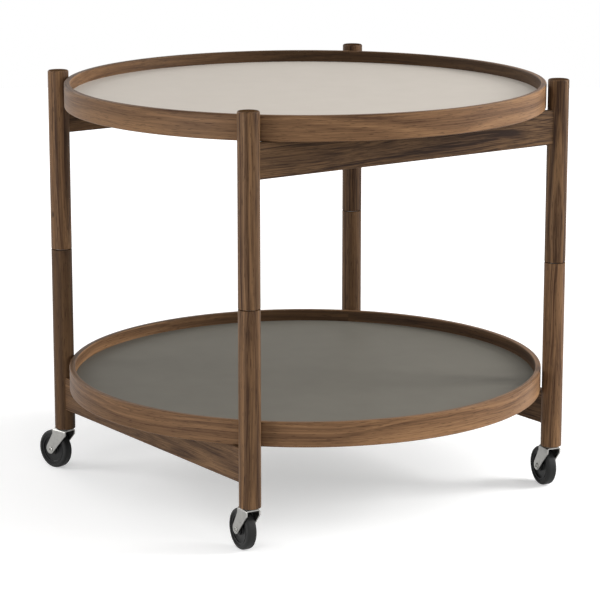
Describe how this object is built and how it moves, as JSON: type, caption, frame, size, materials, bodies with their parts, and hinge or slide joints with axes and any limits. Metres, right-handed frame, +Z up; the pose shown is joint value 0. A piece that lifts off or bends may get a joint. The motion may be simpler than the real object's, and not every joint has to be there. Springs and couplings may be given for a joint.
{
  "type": "serving trolley",
  "caption": "Two-tier round tray trolley in walnut on swivel castors, with lift-out trays between round legs and a frame that folds about the leg pivots.",
  "frame": {"origin": "on the floor, midway between the four legs", "axes": "+Z up, +X along the upper rails to the right, +Y along the lower rails to the back"},
  "size_m": [0.65, 0.65, 0.5673],
  "materials": {
    "walnut": "satin",
    "board_core": "matte",
    "light_laminate": "matte",
    "dark_laminate": "matte",
    "zinc_steel": "bright zinc",
    "black_plastic": "satin",
    "black_rubber": "satin"
  },
  "bodies": {
    "left_lower_frame": {"leg_lower_front_left": "walnut", "pivot_pin_front_left": "zinc_steel", "pivot_washer_front_left": "zinc_steel", "castor_socket_front_left": "zinc_steel", "leg_lower_back_left": "walnut", "pivot_pin_back_left": "zinc_steel", "pivot_washer_back_left": "zinc_steel", "castor_socket_back_left": "zinc_steel", "left_lower_rail": "walnut"},
    "right_lower_frame": {"leg_lower_front_right": "walnut", "pivot_pin_front_right": "zinc_steel", "pivot_washer_front_right": "zinc_steel", "castor_socket_front_right": "zinc_steel", "leg_lower_back_right": "walnut", "pivot_pin_back_right": "zinc_steel", "pivot_washer_back_right": "zinc_steel", "castor_socket_back_right": "zinc_steel", "right_lower_rail": "walnut"},
    "front_upper_frame": {"leg_upper_front_left": "walnut", "leg_upper_front_right": "walnut", "front_upper_rail": "walnut"},
    "back_upper_frame": {"leg_upper_back_left": "walnut", "leg_upper_back_right": "walnut", "back_upper_rail": "walnut"},
    "upper_tray": {"upper_tray_rim": "walnut", "upper_tray_core": "board_core", "upper_tray_top_laminate": "light_laminate", "upper_tray_bottom_laminate": "light_laminate"},
    "lower_tray": {"lower_tray_rim": "walnut", "lower_tray_core": "board_core", "lower_tray_top_laminate": "dark_laminate", "lower_tray_bottom_laminate": "dark_laminate"},
    "castor_front_left": {"castor_fork_front_left": "zinc_steel", "castor_stem_front_left": "zinc_steel", "castor_washer_front_left": "zinc_steel", "castor_axle_front_left": "zinc_steel"},
    "wheel_front_left": {"castor_wheel_front_left": "black_plastic", "castor_tyre_front_left": "black_rubber"},
    "castor_front_right": {"castor_fork_front_right": "zinc_steel", "castor_stem_front_right": "zinc_steel", "castor_washer_front_right": "zinc_steel", "castor_axle_front_right": "zinc_steel"},
    "wheel_front_right": {"castor_wheel_front_right": "black_plastic", "castor_tyre_front_right": "black_rubber"},
    "castor_back_right": {"castor_fork_back_right": "zinc_steel", "castor_stem_back_right": "zinc_steel", "castor_washer_back_right": "zinc_steel", "castor_axle_back_right": "zinc_steel"},
    "wheel_back_right": {"castor_wheel_back_right": "black_plastic", "castor_tyre_back_right": "black_rubber"},
    "castor_back_left": {"castor_fork_back_left": "zinc_steel", "castor_stem_back_left": "zinc_steel", "castor_washer_back_left": "zinc_steel", "castor_axle_back_left": "zinc_steel"},
    "wheel_back_left": {"castor_wheel_back_left": "black_plastic", "castor_tyre_back_left": "black_rubber"}
  },
  "joints": [
    {"name": "fold", "type": "hinge", "parent": "left_lower_frame", "child": "front_upper_frame", "pos_m": [-0.25, -0.23198, 0.3185], "axis": [0, 0, 1], "range_deg": [-0.25, 0.25]},
    {"name": "fold_back_left", "type": "hinge", "parent": "left_lower_frame", "child": "back_upper_frame", "pos_m": [-0.25, 0.23198, 0.3185], "axis": [0, 0, 1], "range_deg": [-0.25, 0.25]},
    {"name": "fold_front_right", "type": "hinge", "parent": "front_upper_frame", "child": "right_lower_frame", "pos_m": [0.25, -0.23198, 0.3185], "axis": [0, 0, 1], "range_deg": [-0.25, 0.25]},
    {"name": "upper_tray_lift", "type": "slide", "parent": "front_upper_frame", "child": "upper_tray", "axis": [0, 0, 1], "range_m": [0, 0.12]},
    {"name": "lower_tray_lift", "type": "slide", "parent": "left_lower_frame", "child": "lower_tray", "axis": [0, 0, 1], "range_m": [0, 0.31]},
    {"name": "swivel_front_left", "type": "hinge", "parent": "left_lower_frame", "child": "castor_front_left", "pos_m": [-0.25, -0.23198, 0.05905], "axis": [0, 0, 1], "continuous": true},
    {"name": "spin_front_left", "type": "hinge", "parent": "castor_front_left", "child": "wheel_front_left", "pos_m": [-0.24769, -0.21202, 0.0271], "axis": [0.9934, -0.1149, 0], "continuous": true},
    {"name": "swivel_front_right", "type": "hinge", "parent": "right_lower_frame", "child": "castor_front_right", "pos_m": [0.25, -0.23198, 0.05905], "axis": [0, 0, 1], "continuous": true},
    {"name": "spin_front_right", "type": "hinge", "parent": "castor_front_right", "child": "wheel_front_right", "pos_m": [0.25414, -0.21232, 0.0271], "axis": [0.9785, -0.2062, 0], "continuous": true},
    {"name": "swivel_back_right", "type": "hinge", "parent": "right_lower_frame", "child": "castor_back_right", "pos_m": [0.25, 0.23198, 0.05905], "axis": [0, 0, 1], "continuous": true},
    {"name": "spin_back_right", "type": "hinge", "parent": "castor_back_right", "child": "wheel_back_right", "pos_m": [0.25, 0.25209, 0.0271], "axis": [1, 0, 0], "continuous": true},
    {"name": "swivel_back_left", "type": "hinge", "parent": "left_lower_frame", "child": "castor_back_left", "pos_m": [-0.25, 0.23198, 0.05905], "axis": [0, 0, 1], "continuous": true},
    {"name": "spin_back_left", "type": "hinge", "parent": "castor_back_left", "child": "wheel_back_left", "pos_m": [-0.25476, 0.25151, 0.0271], "axis": [0.9715, 0.2368, 0], "continuous": true}
  ],
  "couplings": [
    {"joint": "fold_back_left", "follows": "fold", "ratio": 1},
    {"joint": "fold_front_right", "follows": "fold", "ratio": -1}
  ]
}
